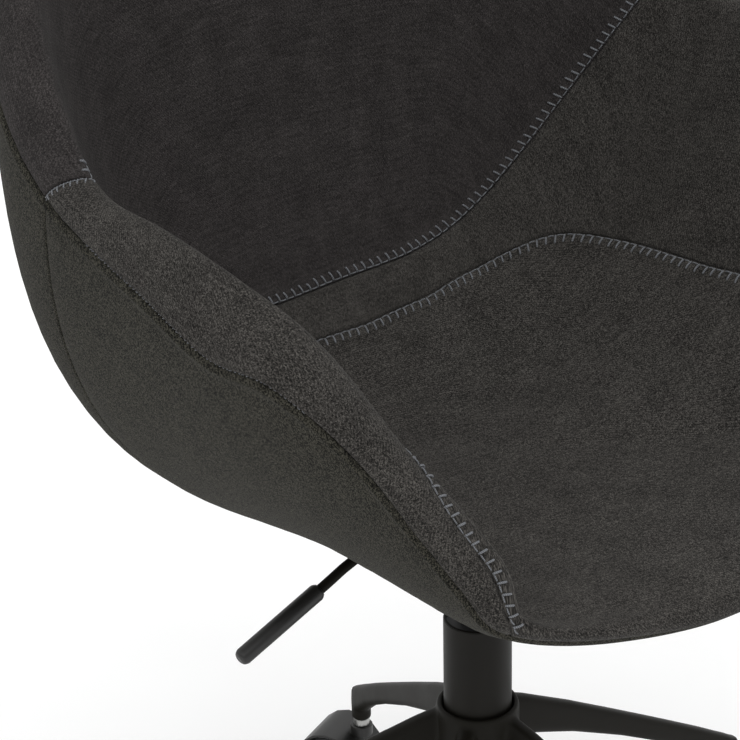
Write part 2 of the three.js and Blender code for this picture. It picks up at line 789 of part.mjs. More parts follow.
function seatShell() {
  const holes = boltPlaces().map(([x, y]) =>
    bar(3 + GAP, SHELL.outerCentre[2] - 20, MECHANISM.plateTop + 14 + GAP, 12).translate(x, y, 0),
  );
  add("shell_core", geometryOf(cut(solid(core()), holes)), CORE);
  const onSeat = ({ side, r }) => r < ROW.seatSeam || (side < CORNER && r < ROW.outerRim);
  const onArm = ({ side, r }) =>
    side > CORNER && side < CROSS_SEAM && r >= ROW.seatSeam && r < ROW.outerRim;
  const onBand = ({ side, r }) => side > CROSS_SEAM && r >= ROW.seatSeam && r < ROW.backSeam;
  const onBack = ({ side, r }) => side > CROSS_SEAM && r >= ROW.backSeam && r < ROW.outerRim;
  const outside = ({ r }) => r >= ROW.outerRim && r < ROW.underside;
  add("seat_pad", cover(cellsWhere(onSeat)), FABRIC);
  add("lower_back_band", cover(cellsWhere(onBand)), FABRIC);
  add("back_pad", cover(cellsWhere(onBack)), FABRIC);
  for (const left of [true, false]) {
    const name = left ? "left" : "right";
    add(`arm_pad_${name}`, cover(cellsWhere((cell) => cell.left === left && onArm(cell))), FABRIC);
    const outerArm = (cell) =>
      cell.left === left && outside(cell) && cell.side > CORNER && cell.side < CROSS_SEAM;
    add(`outer_arm_cover_${name}`, cover(cellsWhere(outerArm)), FABRIC_OUTSIDE);
  }
  add(
    "outer_back_cover",
    cover(cellsWhere((cell) => outside(cell) && cell.side > CROSS_SEAM)),
    FABRIC_OUTSIDE,
  );
  const underside = cellsWhere(({ side, r }) => r >= ROW.underside || (side < CORNER && r >= ROW.outerRim));
  add("underside_cover", geometryOf(cut(solid(cover(underside)), holes)), FABRIC_OUTSIDE);
}

// ---------------------------------------------------------------- assembly

starBase();
column();
mechanism();
lever();
castors();
seatShell();

export default chair;
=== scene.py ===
"""A padded swivel tub chair: sewn fabric shell, gas-lift column, five-star base and hooded castors."""

import math

import bmesh
import bpy
import numpy as np
from mathutils import Matrix, Vector, kdtree


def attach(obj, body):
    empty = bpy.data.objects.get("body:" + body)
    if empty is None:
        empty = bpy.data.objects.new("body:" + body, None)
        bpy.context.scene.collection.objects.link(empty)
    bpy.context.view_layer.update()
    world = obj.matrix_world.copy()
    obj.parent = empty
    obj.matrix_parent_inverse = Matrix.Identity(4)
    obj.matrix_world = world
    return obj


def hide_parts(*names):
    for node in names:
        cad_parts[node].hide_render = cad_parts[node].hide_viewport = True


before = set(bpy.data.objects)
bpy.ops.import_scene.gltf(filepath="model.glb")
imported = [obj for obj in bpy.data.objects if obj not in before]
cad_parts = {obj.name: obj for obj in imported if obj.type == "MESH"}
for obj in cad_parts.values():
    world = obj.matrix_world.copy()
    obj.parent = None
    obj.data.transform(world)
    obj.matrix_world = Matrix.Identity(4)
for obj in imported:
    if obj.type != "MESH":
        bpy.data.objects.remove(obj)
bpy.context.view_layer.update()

MM = 0.001
JOIN_DISTANCE = 2e-5  # metres within which mesh points are one

# ---------------------------------------------------------------- shell surface, in mm
# Station u runs round the rim: 0 is the middle of the front edge, 13 the middle of the back,
# 26 the front again. Place s runs 0 seat centre, 1 inner rim edge, 2 outer rim seam, 3 underside centre.

BACK = 13
TURN = 2 * BACK
RAILS = {
    "inner_rim": [
        (0, -256, 446), (105, -257, 455), (183, -249, 480), (192, -230, 522), (226, -168, 598),
        (251, -124, 655), (265, -66, 680), (271, -4, 692), (267, 67, 696), (250, 140, 749),
        (222, 197, 796), (175, 233, 840), (95, 249, 853), (0, 252, 856),
    ],
    "outer_rim": [
        (0, -265, 426.5), (108, -258, 443.5), (196, -246, 476), (220, -226, 512), (258, -180, 592),
        (289, -136, 638), (297, -82, 641), (299, -19, 662), (290, 87, 686), (273, 162, 726),
        (239, 219, 774), (188, 254, 828), (98, 269, 850), (0, 272, 855),
    ],
    "inner_foot": [
        (0, -150, 446), (100, -150, 446), (178, -165, 448), (200, -150, 454), (208, -118, 456),
        (212, -80, 456), (214, -35, 456), (212, 20, 456), (205, 90, 456), (185, 140, 456),
        (155, 175, 456), (110, 190, 456), (58, 197, 456), (0, 200, 456),
    ],
    "outer_foot": [
        (0, -190, 399), (102, -190, 404), (158, -184, 425), (198, -168, 436), (228, -110, 435),
        (240, -64, 436), (247, -18, 434), (265, 47, 420), (284, 121, 398), (284, 174, 388),
        (239, 204, 391), (188, 217, 388), (100, 228, 388), (0, 232, 390),
    ],
}
SEAT_CENTRE = np.array([0.0, -30.0, 447.0])
UNDERSIDE_CENTRE = np.array([0.0, 0.0, 388.0])
INNER_FOOT_PULL, INNER_WALL_PULL = 0.86, 0.72
OUTER_FOOT_PULL, OUTER_WALL_PULL, UNDERSIDE_RISE = 0.70, 0.66, 0.2
RIM_CROWN_INNER, RIM_CROWN_OUTER = 14.0, 12.0

MIRROR = np.array([-1.0, 1.0, 1.0])


def unit(v):
    return v / np.maximum(np.linalg.norm(v, axis=-1, keepdims=True), 1e-12)


def lerp(a, b, t):
    return a + (b - a) * t


def rail(name, u):
    """Points of a rail at stations u: a Catmull-Rom curve, mirrored on the chair's other side."""
    points = np.array(RAILS[name], float)
    points = np.vstack([points[1] * MIRROR, points, points[-2] * MIRROR])
    u = np.mod(u, TURN)
    folded = np.where(u > BACK, TURN - u, u)
    i = np.clip(np.floor(folded), 0, BACK - 1).astype(int)
    t = (folded - i)[..., None]
    a, b, c, d = (points[i + k] for k in range(4))
    curve = 0.5 * (2 * b + (c - a) * t + (2 * a - 5 * b + 4 * c - d) * t**2 + (3 * b - a - 3 * c + d) * t**3)
    return np.where((u > BACK)[..., None], curve * MIRROR, curve)


def bezier(a, b, c, d, t):
    return (1 - t) ** 3 * a + 3 * (1 - t) ** 2 * t * b + 3 * (1 - t) * t**2 * c + t**3 * d


def rim_direction(name, foot, u):
    """Direction in which the padding bulges over the rim, square to the rail."""
    along = unit(rail(name, u + 0.01) - rail(name, u - 0.01))
    away = rail(name, u) - foot
    return unit(away - (away * along).sum(-1, keepdims=True) * along)


def shell_point(u, s):
    inner, outer = rail("inner_rim", u), rail("outer_rim", u)
    inner_foot, outer_foot = rail("inner_foot", u), rail("outer_foot", u)
    inner_way = rim_direction("inner_rim", inner_foot, u)
    outer_way = rim_direction("outer_rim", outer_foot, u)
    s = np.asarray(s, float)[..., None]
    inside = bezier(
        SEAT_CENTRE,
        lerp(SEAT_CENTRE, inner_foot, INNER_FOOT_PULL),
        lerp(inner, inner_foot, INNER_WALL_PULL),
        inner,
        np.clip(s, 0, 1),
    )
    over = bezier(
        inner,
        inner + inner_way * RIM_CROWN_INNER,
        outer + outer_way * RIM_CROWN_OUTER,
        outer,
        np.clip(s - 1, 0, 1),
    )
    floor = lerp(UNDERSIDE_CENTRE, outer_foot, OUTER_FOOT_PULL)
    floor[..., 2] = lerp(UNDERSIDE_CENTRE[2], outer_foot[..., 2], UNDERSIDE_RISE)
    outside = bezier(
        outer,
        lerp(outer, outer_foot, OUTER_WALL_PULL),
        floor,
        UNDERSIDE_CENTRE,
        np.clip(s - 2, 0, 1),
    )
    return np.where(s <= 1, inside, np.where(s <= 2, over, outside))


NORMAL_PLACE_STEP, NORMAL_STATION_STEP = 0.015, 0.04
UPRIGHT_REACH, UPRIGHT_BLEND = 0.12, 0.06  # places round each centre where the normal turns upright


def shell_normal(u, s):
    """Outward unit normal, from differences a little apart so that creases are averaged."""
    s = np.clip(s, 0.02, 2.98)
    across = shell_point(u, s + NORMAL_PLACE_STEP) - shell_point(u, s - NORMAL_PLACE_STEP)
    along = shell_point(u + NORMAL_STATION_STEP, s) - shell_point(u - NORMAL_STATION_STEP, s)
    centre = np.clip((UPRIGHT_REACH - np.minimum(s, 3 - s)) / UPRIGHT_BLEND, 0, 1)[..., None]
    upright = np.where((s < 1.5)[..., None], (0.0, 0.0, 1.0), (0.0, 0.0, -1.0))
    return unit(lerp(unit(np.cross(across, along)), upright, centre))


# ---------------------------------------------------------------- seams

CROSS_SEAM = 8.1  # station where the arm meets the back
CORNER = 1.96  # station where the front corner seam reaches the outer rim seam
UNDERSIDE_SEAM = 2.72
SEAT_SEAM = (
    (CORNER, 2.0), (2.03, 1.82), (2.12, 1.66), (2.27, 1.55), (2.5, 1.49), (3.0, 1.47),
    (3.4, 1.46), (3.62, 1.38), (3.76, 1.2), (3.9, 1.0), (4.1, 0.85), (4.45, 0.76),
    (5.0, 0.68), (5.6, 0.605), (6.3, 0.573), (7.0, 0.558), (7.6, 0.552), (8.0, 0.542),
    (8.5, 0.518), (9.0, 0.48), (9.6, 0.43), (10.2, 0.39), (11.4, 0.345), (13.0, 0.33),
)
BACK_SEAM_LOW, BACK_SEAM_RISE, BACK_SEAM_REACH, BACK_SEAM_POWER = 0.418, 0.582, 4.72, 3.55
BACK_SEAM_AHEAD, BACK_SEAM_MIX = 0.29, 1.5


def side_of(u):
    u = np.mod(u, TURN)
    return np.where(u > BACK, TURN - u, u)


def seat_seam(u):
    """Place of the seam between the seat and the arms and back, eased at its listed points."""
    side = side_of(u)
    stations, places = np.array(SEAT_SEAM).T
    ease = np.clip((side - 2) / 8, 0, 0.25)
    shifts = np.linspace(-1, 1, 9)
    return np.mean([np.interp(side_of(side + k * ease), stations, places) for k in shifts], axis=0)


def back_seam(u):
    """Place of the seam under the back panel; ahead of the arm it is only a line of the mesh."""
    side = side_of(u)
    reach = (BACK - np.maximum(side, CROSS_SEAM)) / BACK_SEAM_REACH
    behind = BACK_SEAM_LOW + BACK_SEAM_RISE * reach**BACK_SEAM_POWER
    ahead = lerp(seat_seam(u), 2.0, BACK_SEAM_AHEAD)
    mix = np.clip((CROSS_SEAM - side) / BACK_SEAM_MIX, 0, 1)
    return np.maximum(lerp(behind, ahead, mix), seat_seam(u))


# ---------------------------------------------------------------- sewn surface


def seam_curves():
    """Station and place arrays along each seam, keyed by name."""
    ring = np.linspace(0, TURN, 1400)
    behind = np.linspace(CROSS_SEAM, TURN - CROSS_SEAM, 700)
    curves = {
        "seat": (ring, seat_seam(ring)),
        "back": (behind, back_seam(behind)),
        "rim": (ring, 2 + 0 * ring),
        "under": (ring, UNDERSIDE_SEAM + 0 * ring),
    }
    over, down = np.linspace(float(back_seam(CROSS_SEAM)), 2, 120), np.linspace(2, UNDERSIDE_SEAM, 260)
    for name, u in (("left", CROSS_SEAM), ("right", TURN - CROSS_SEAM)):
        curves["cross_" + name] = (u + 0 * over, over)
        curves["upright_" + name] = (u + 0 * down, down)
    front = np.linspace(2, UNDERSIDE_SEAM, 60)
    curves["front"] = (0 * front, front)
    return curves


SEAMS = seam_curves()
SEAM_TREE = kdtree.KDTree(sum(len(u) for u, _ in SEAMS.values()))
for seam_sample in np.vstack([shell_point(u, s) for u, s in SEAMS.values()]):
    SEAM_TREE.insert(seam_sample, 0)
SEAM_TREE.balance()

PLUMP = 2.6  # how far the covers stand off the shell surface
ROLL = 2.4  # radius of a cover's rolled edge
DIP, DIP_WIDTH = 1.6, 9.0  # the padding sinks a little towards every seam
WELT, WELT_PLACE, WELT_WIDTH = 2.2, 4.8, 3.0  # raised strip below the outer rim seam
HEM, HEM_PLACE, HEM_WIDTH = 1.0, 8.6, 0.9  # fine crease along the strip's lower edge


def seam_distance(points):
    flat = points.reshape(-1, 3)
    return np.array([SEAM_TREE.find(p)[2] for p in flat]).reshape(points.shape[:-1])


def cover_point(u, s):
    """The padded, sewn surface: the shell with its edges rolled into the seams."""
    u, s = np.broadcast_arrays(np.asarray(u, float), np.asarray(s, float))
    bare = shell_point(u, s)
    gap = seam_distance(bare)
    edge = np.clip(1 - gap / ROLL, 0, 1)
    depth = ROLL * (1 - np.sqrt(1 - edge**2)) + DIP * np.exp(-gap / DIP_WIDTH)
    below_rim = np.linalg.norm(bare - shell_point(u, 2 + 0 * u), axis=-1)
    welt = WELT * np.exp(-(((below_rim - WELT_PLACE) / WELT_WIDTH) ** 2)) * (s > 2)
    hem = HEM * np.exp(-(((below_rim - HEM_PLACE) / HEM_WIDTH) ** 2)) * (s > 2)
    return bare + shell_normal(u, s) * (PLUMP + welt - hem - depth)[..., None]


# ---------------------------------------------------------------- cover lattice

ROWS = {"seat": 52, "wall": 30, "top": 46, "outer": 34, "under": 18}
COLUMN_RUNS = ((0, CORNER, 34), (CORNER, CROSS_SEAM, 74), (CROSS_SEAM, BACK, 56))
SEAM_CROWDING = 0.9  # how much closer mesh lines lie next to a seam
PLACE_LENGTHS = (0, 220, 262, 560)  # rough lengths along a rib to places 0, 1, 2 and 3


def graded(count):
    t = np.linspace(0, 1, count + 1)
    return t - SEAM_CROWDING * np.sin(2 * np.pi * t) / (2 * np.pi)


def column_stations():
    half = np.concatenate([a + (b - a) * graded(n)[:-1] for a, b, n in COLUMN_RUNS])
    return np.concatenate([half, [BACK], TURN - half[:0:-1]])


def row_places(u):
    """Places of every mesh row at stations u, and the row where each segment starts."""
    zero = 0 * u
    bounds = (zero, seat_seam(u), back_seam(u), zero + 2, zero + UNDERSIDE_SEAM, zero + 3)
    places, starts = [zero[None]], {}
    for (segment, count), low, high in zip(ROWS.items(), bounds, bounds[1:]):
        starts[segment] = sum(len(p) for p in places) - 1
        t = np.sin(np.linspace(0, 1, count + 1) * np.pi / 2) if segment == "seat" else graded(count)
        low, high = (np.interp(x, (0, 1, 2, 3), PLACE_LENGTHS) for x in (low, high))
        places.append(np.interp(lerp(low, high, t[1:, None]), PLACE_LENGTHS, (0, 1, 2, 3)))
    starts["end"] = sum(len(p) for p in places) - 1
    return np.vstack(places), starts


COLUMN_U = column_stations()
ROW_S, ROW_START = row_places(COLUMN_U)
GRID_U = np.broadcast_to(COLUMN_U, ROW_S.shape)
GRID = cover_point(GRID_U, ROW_S)


def grain():
    """Cloth coordinates in mm, out from a centre of the shell, and along the rim and down from its seam."""
    steps = np.linalg.norm(np.diff(GRID, axis=0), axis=-1)
    down = np.vstack([0 * COLUMN_U[None], np.cumsum(steps, axis=0)])
    from_below = (down[-1] - down) * (down > down[ROW_START["outer"]])
    spread = np.where(from_below > 0, from_below, down)
    flat = unit(GRID[..., :2] - SEAT_CENTRE[:2]) * spread[..., None]
    down = down[ROW_START["outer"]] - down
    rim = GRID[ROW_START["outer"]]
    around = np.concatenate([[0], np.cumsum(np.linalg.norm(np.diff(rim, axis=0), axis=-1))])
    return flat, np.stack([np.broadcast_to(around, down.shape), down], -1)


GRAIN_FLAT, GRAIN_ROUND = grain()


def rows_of(*segments):
    """Mask of the lattice's cell rows that lie in the named segments."""
    names = list(ROW_START)
    mask = np.zeros(len(ROW_S) - 1, bool)
    for name in segments:
        mask[ROW_START[name] : ROW_START[names[names.index(name) + 1]]] = True
    return mask[:, None]


CELL_U = (COLUMN_U + np.append(COLUMN_U[1:], TURN)) / 2
CELL_SIDE = side_of(CELL_U)[None, :]
ON_LEFT = (CELL_U < BACK)[None, :]


def mesh_object(name, points, faces, material, uvs=None):
    """A smooth mesh from points in mm. Points that coincide are joined, and flat or empty faces dropped."""
    mesh = bpy.data.meshes.new(name)
    mesh.from_pydata((np.asarray(points) * MM).tolist(), [], [list(map(int, f)) for f in faces])
    if uvs is not None:
        layer = mesh.uv_layers.new(name="UVMap")
        corner_points = np.zeros(len(mesh.loops), int)
        mesh.loops.foreach_get("vertex_index", corner_points)
        layer.data.foreach_set("uv", np.asarray(uvs)[corner_points].ravel() * MM)
    work = bmesh.new()
    work.from_mesh(mesh)
    bmesh.ops.remove_doubles(work, verts=work.verts, dist=JOIN_DISTANCE)
    for face in work.faces:
        face.smooth = True
    work.to_mesh(mesh)
    work.free()
    mesh.materials.append(material)
    obj = bpy.data.objects.new(name, mesh)
    bpy.context.scene.collection.objects.link(obj)
    return obj


SIM_VOXEL, SIM_FRAMES, SIM_PRESSURE, SIM_MASS = 7.0, 20, 4.0, 0.008
SIM_HELD, SIM_FREE = 5.0, 14.0  # mm from a seam where the cloth is held, and where it is free
SWELL_START, SWELL_FULL = 8.0, 34.0  # mm from a seam over which the swelling comes in
SWELL_CAP = {"seat": 4.0, "wall": 2.0, "top": 3.0, "outer": 1.6, "under": 1.2}
SWELL_NEIGHBOURS = 6


def cell_corners(row, column, count):
    """Corner indices of cells in a lattice that closes on itself sideways."""
    after = (column + 1) % count
    low, high = row * count, (row + 1) * count
    return np.stack([low + column, high + column, high + after, low + after], -1)


def shell_cells(rows, count):
    """All the cells of a lattice, as faces."""
    row, column = (a.ravel() for a in np.mgrid[: rows - 1, :count])
    return cell_corners(row, column, count)


def vertex_places(mesh):
    places = np.zeros(len(mesh.vertices) * 3)
    mesh.vertices.foreach_get("co", places)
    return places.reshape(-1, 3)


def swelling():
    """How far each lattice point of the covers swells, in mm, from a cloth simulation held along the seams."""
    scene = bpy.context.scene
    bare = shell_point(GRID_U, ROW_S)
    blank = bpy.data.materials.new("blank")
    source = mesh_object("swelling_source", bare.reshape(-1, 3), shell_cells(*ROW_S.shape), blank)
    remesh = source.modifiers.new("remesh", "REMESH")
    remesh.mode, remesh.voxel_size = "VOXEL", SIM_VOXEL * MM
    mesh = bpy.data.meshes.new_from_object(source.evaluated_get(bpy.context.evaluated_depsgraph_get()))
    bpy.data.objects.remove(source)
    body = bpy.data.objects.new("swelling", mesh)
    scene.collection.objects.link(body)
    rest = vertex_places(mesh) / MM
    hold = np.clip((SIM_FREE - seam_distance(rest)) / (SIM_FREE - SIM_HELD), 0, 1)
    held = body.vertex_groups.new(name="held")
    for index in np.nonzero(hold)[0]:
        held.add([int(index)], float(hold[index]), "REPLACE")
    cloth = body.modifiers.new("cloth", "CLOTH")
    cloth.settings.quality, cloth.settings.mass = 5, SIM_MASS
    cloth.settings.vertex_group_mass = "held"
    cloth.settings.use_pressure, cloth.settings.uniform_pressure_force = True, SIM_PRESSURE
    cloth.settings.effector_weights.gravity = 0
    cloth.collision_settings.use_collision = False
    cloth.point_cache.frame_start, cloth.point_cache.frame_end = 1, SIM_FRAMES
    for step in range(1, SIM_FRAMES + 1):
        scene.frame_set(step)
    shift = vertex_places(body.evaluated_get(bpy.context.evaluated_depsgraph_get()).data) / MM - rest
    scene.frame_set(1)
    bpy.data.objects.remove(body)
    tree = kdtree.KDTree(len(rest))
    for index, place in enumerate(rest):
        tree.insert(place, index)
    tree.balance()
    fine = np.zeros(bare.shape)
    for at in np.ndindex(bare.shape[:2]):
        near = tree.find_n(bare[at], SWELL_NEIGHBOURS)
        weight = np.array([1 / (1 + found[2] ** 2) for found in near])
        fine[at] = (shift[[found[1] for found in near]] * weight[:, None]).sum(0) / weight.sum()
    push = np.nan_to_num((fine * shell_normal(GRID_U, ROW_S)).sum(-1))
    cap = np.repeat(list(SWELL_CAP.values()), list(ROWS.values()))
    cap = np.append(cap, cap[-1])[:, None]
    share = np.clip((seam_distance(bare) - SWELL_START) / (SWELL_FULL - SWELL_START), 0, 1)
    return np.clip(cap * np.tanh(push / cap), -0.5, None) * share**2 * (3 - 2 * share)


GRID = GRID + shell_normal(GRID_U, ROW_S) * swelling()[..., None]

COVER_THICKNESS = 2.8


def cover(name, cells, material, nodes, flat=False):
    """One sewn panel made of the lattice cells in the mask, as a closed pad on the seat shell."""
    corners = cell_corners(*np.nonzero(cells), len(COLUMN_U))
    used, faces = np.unique(corners, return_inverse=True)
    faces = faces.reshape(corners.shape)
    uvs = (GRAIN_FLAT if flat else GRAIN_ROUND).reshape(-1, 2)[used]
    piece = mesh_object(name, GRID.reshape(-1, 3)[used], faces, material, uvs)
    solid = piece.modifiers.new("thickness", "SOLIDIFY")
    solid.thickness = COVER_THICKNESS * MM
    solid.offset = -1
    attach(piece, "seat")
    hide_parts(*nodes)


# ---------------------------------------------------------------- materials


class Shader:
    """A Principled material with short calls for the nodes around it."""

    def __init__(self, name, colour, roughness, metallic=0.0, specular=0.5):
        self.material = bpy.data.materials.new(name)
        self.material.use_nodes = True
        self.tree = self.material.node_tree
        self.surface = self.tree.nodes["Principled BSDF"]
        self.set(Base_Color=(*colour, 1), Roughness=roughness, Metallic=metallic, Specular_IOR_Level=specular)

    def set(self, **values):
        for socket, value in values.items():
            self.surface.inputs[socket.replace("_", " ")].default_value = value

    def node(self, kind, inputs=None, **settings):
        node = self.tree.nodes.new(kind)
        for key, value in settings.items():
            setattr(node, key, value)
        for key, value in (inputs or {}).items():
            if isinstance(value, bpy.types.NodeSocket):
                self.tree.links.new(value, node.inputs[key])
            else:
                node.inputs[key].default_value = value
        return node

    def math(self, operation, a, b=0.0, c=0.0):
        return self.node("ShaderNodeMath", {0: a, 1: b, 2: c}, operation=operation).outputs[0]

    def coordinates(self, output="Object", scale=(1, 1, 1)):
        source = self.node("ShaderNodeTexCoord").outputs[output]
        inputs = {"Vector": source, "Scale": scale}
        return self.node("ShaderNodeMapping", inputs, vector_type="TEXTURE").outputs[0]

    def noise(self, vector, scale=1.0, detail=2.0):
        inputs = {"Vector": vector, "Scale": scale, "Detail": detail}
        return self.node("ShaderNodeTexNoise", inputs).outputs["Fac"]

    def ramp(self, factor, *stops):
        node = self.node("ShaderNodeValToRGB", {"Fac": factor})
        elements = node.color_ramp.elements
        while len(elements) < len(stops):
            elements.new(0.5)
        for element, (place, colour) in zip(elements, stops):
            element.position = place
            element.color = (*colour, 1)
        return node.outputs["Color"]

    def spread(self, factor, low, high, low_out=0.0, high_out=1.0):
        inputs = {"Value": factor, "From Min": low, "From Max": high, "To Min": low_out, "To Max": high_out}
        return self.node("ShaderNodeMapRange", inputs).outputs[0]

    def link(self, output, socket):
        self.tree.links.new(output, self.surface.inputs[socket])

    def bump(self, height, distance, strength=1.0):
        inputs = {"Height": height, "Distance": distance, "Strength": strength}
        return self.node("ShaderNodeBump", inputs).outputs[0]


THREAD_PITCH = 0.75
WALE_STEP = 2 * math.pi / 4  # a twill wale is four threads wide
CLOTH_TONES = ((0.0, 0.22), (0.3, 0.6), (0.5, 1.0), (0.75, 1.75), (1.0, 2.9))  # share of the tint at each level
THREAD_SPREAD, SLUB_STRETCH = 5.37, 0.42  # noise step from thread to thread, and along each thread
FUZZ, STREAK_LENGTH, STREAK_WIDTH, PATCH = 0.6, 42, 2.2, 34  # sizes in mm
THREAD_TONE, WALE_TONE, STREAK_TONE, PATCH_TONE = 4.6, 0.07, 0.09, 0.07  # how strongly each changes the tone


def melange_cloth(name, tint, contrast=1.0):
    """Wool-blend twill: every warp and weft thread has its own tone, with slubs, streaks and a little fuzz."""
    cloth = Shader(name, tint, 0.95, specular=0.1)
    cloth.set(Sheen_Weight=0.03, Sheen_Roughness=0.5)
    pitch = THREAD_PITCH * MM
    axes = cloth.node("ShaderNodeSeparateXYZ", {"Vector": cloth.coordinates("UV", (pitch, pitch, 1))})
    across, along = axes.outputs[0], axes.outputs[1]
    warp_thread, weft_thread = cloth.math("FLOOR", across), cloth.math("FLOOR", along)

    def yarn(thread, way, offset):
        apart = cloth.math("MULTIPLY", thread, THREAD_SPREAD)
        place = cloth.node("ShaderNodeCombineXYZ", {0: apart, 1: way, 2: offset})
        stretched = cloth.node("ShaderNodeMapping", {"Vector": place.outputs[0], "Scale": (1, SLUB_STRETCH, 1)})
        return cloth.noise(stretched.outputs[0])

    warp, weft = yarn(warp_thread, along, 0.0), yarn(weft_thread, across, 31.0)
    float_place = cloth.math("FRACT", cloth.math("MULTIPLY", cloth.math("ADD", warp_thread, weft_thread), 0.25))
    pick = cloth.math("LESS_THAN", float_place, 0.5)
    tone = cloth.node("ShaderNodeMix", {"Factor": pick, "A": warp, "B": weft}, data_type="FLOAT").outputs[0]
    fuzz = cloth.noise(cloth.coordinates("UV", (FUZZ * MM, FUZZ * MM, 1)), detail=2)
    streaks = cloth.noise(cloth.coordinates("UV", (STREAK_LENGTH * MM, STREAK_WIDTH * MM, 1)), detail=3)
    patches = cloth.noise(cloth.coordinates("UV", (PATCH * MM, PATCH * MM, 1)), detail=3)
    wale = cloth.math("SINE", cloth.math("MULTIPLY", cloth.math("ADD", across, along), WALE_STEP))
    mixed = cloth.math("ADD", cloth.math("MULTIPLY", tone, 0.6), cloth.math("MULTIPLY", fuzz, 0.4))
    streaked = cloth.spread(streaks, 0.3, 0.7, -STREAK_TONE, STREAK_TONE)
    patched = cloth.spread(patches, 0.3, 0.7, -PATCH_TONE, PATCH_TONE)
    shade = cloth.math("ADD", streaked, patched)
    shade = cloth.math("MULTIPLY_ADD", wale, WALE_TONE * contrast, shade)
    gain = THREAD_TONE * contrast
    level = cloth.math("ADD", cloth.math("MULTIPLY_ADD", mixed, gain, (1 - gain) / 2), shade)
    tint = np.array(tint)
    stops = [(place, tuple(tint * value)) for place, value in CLOTH_TONES]
    cloth.link(cloth.ramp(level, *stops), "Base Color")
    halves = [cloth.math("MULTIPLY", way, math.pi) for way in (across, along)]
    weave = [cloth.math("ABSOLUTE", cloth.math("SINE", half)) for half in halves]
    height = cloth.math("ADD", cloth.math("MULTIPLY", cloth.math("MULTIPLY", *weave), 0.5), mixed)
    height = cloth.math("MULTIPLY_ADD", wale, 0.35, height)
    cloth.link(cloth.bump(height, 0.3 * MM, 0.5), "Normal")
    return cloth.material


CLOTH_IN = melange_cloth("charcoal_melange", (0.033, 0.0309, 0.0283))
# Same cloth with a darker tint: painted shade for the enclosed back.
CLOTH_BACK_PAINTED_SHADE = melange_cloth("charcoal_melange_back_painted_shade", (0.0285, 0.0258, 0.0252), 0.6)
# Same cloth with a darker, warmer tint: painted shade on the outer and underside panels.
CLOTH_OUT_PAINTED_SHADE = melange_cloth("charcoal_melange_outside_painted_shade", (0.0205, 0.0195, 0.0155), 2.3)

# ---------------------------------------------------------------- seat shell covers

cover("seat_cushion", rows_of("seat") & (CELL_SIDE >= 0), CLOTH_IN, ["seat_pad"], flat=True)
ARM_TOP = rows_of("top") & (CELL_SIDE > CORNER) & (CELL_SIDE < CROSS_SEAM)
cover(
    "arm_and_lumbar_band",
    (rows_of("wall") & (CELL_SIDE > CORNER)) | ARM_TOP,
    CLOTH_IN,
    ["lower_back_band", "arm_pad_left", "arm_pad_right"],
)
cover("back_cushion", rows_of("top") & (CELL_SIDE > CROSS_SEAM), CLOTH_BACK_PAINTED_SHADE, ["back_pad"])
OUTER_BACK, UNDERSIDE = rows_of("outer") & (CELL_SIDE > CROSS_SEAM), rows_of("under") & (CELL_SIDE >= 0)
cover("outer_back_panel", OUTER_BACK, CLOTH_OUT_PAINTED_SHADE, ["outer_back_cover"])
cover("underside_panel", UNDERSIDE, CLOTH_OUT_PAINTED_SHADE, ["underside_cover"], flat=True)
for hand, on_side in (("left", ON_LEFT), ("right", ~ON_LEFT)):
    cells = rows_of("outer") & (CELL_SIDE < CROSS_SEAM) & on_side
    cover("outer_arm_panel_" + hand, cells, CLOTH_OUT_PAINTED_SHADE, ["outer_arm_cover_" + hand])

LINER_DEPTH = 3.4  # mm behind the covers' faces


def liner():
    """The moulded core just behind the covers, closed all round; its near-black colour also serves as painted
    shade in the seam gaps.
    """
    skin = (GRID - shell_normal(GRID_U, ROW_S) * LINER_DEPTH)[::2, ::2]
    skin[0], skin[-1] = skin[0].mean(0), skin[-1].mean(0)
    faces = shell_cells(*skin.shape[:2])
    core = mesh_object("core_liner", skin.reshape(-1, 3), faces, FINISHES["moulded_core"])
    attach(core, "seat")
    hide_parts("shell_core")


# ---------------------------------------------------------------- stitching

STITCH_PITCH, SHORT_PITCH, HEM_PITCH = 7.4, 4.6, 3.6
THREAD_SIDES = 6
SEAM_NOISE = np.random.default_rng(11)
# Each thread piece as (share of the pitch along the seam, mm across it, mm above the cloth).
STROKE = (
    (0.02, 1.2, -1.0), (0.04, 2.0, 0.25), (0.09, 3.6, 0.5),
    (0.15, 5.4, 0.5), (0.2, 6.8, 0.2), (0.22, 7.6, -1.0),
)
SPINE = ((0.12, 1.7, -1.2), (0.24, 1.5, 0.1), (0.5, 1.3, 0.4), (0.76, 1.5, 0.1), (0.88, 1.7, -1.2))
SHORT_STROKE = ((0.0, 0.6, -0.9), (0.02, 1.5, 0.4), (0.06, 3.0, 0.5), (0.1, 4.2, 0.3), (0.12, 5.0, -0.9))
BLANKET_STITCH = ((STROKE, 0.78), (SPINE, 0.5))
SHORT_STITCH = ((SHORT_STROKE, 0.6), (SPINE, 0.45))
HEM_DASH = ((0.2, -0.6, -0.7), (0.3, -0.4, 0.25), (0.5, -0.3, 0.45), (0.7, -0.4, 0.25), (0.8, -0.6, -0.7))
HEM_RADIUS, HEM_STATIONS = 0.35, (4.6, 7.6)  # the stations where the rim seam's own thread shows
FIRST_STITCH = 0.1  # share of the pitch before the first stitch
REACH_SLACK, RUN_SLACK, LIFT_SLACK = 0.06, 0.25, 0.05  # a share of the reach, then mm


def solve_step(by_station, by_place, way):
    """Station and place changes that move a surface point by the vector way."""
    aa, bb, ab = ((p * q).sum(-1) for p, q in ((by_station,) * 2, (by_place,) * 2, (by_station, by_place)))
    a, b = (by_station * way).sum(-1), (by_place * way).sum(-1)
    spread = aa * bb - ab**2
    return (a * bb - b * ab) / spread, (b * aa - a * ab) / spread


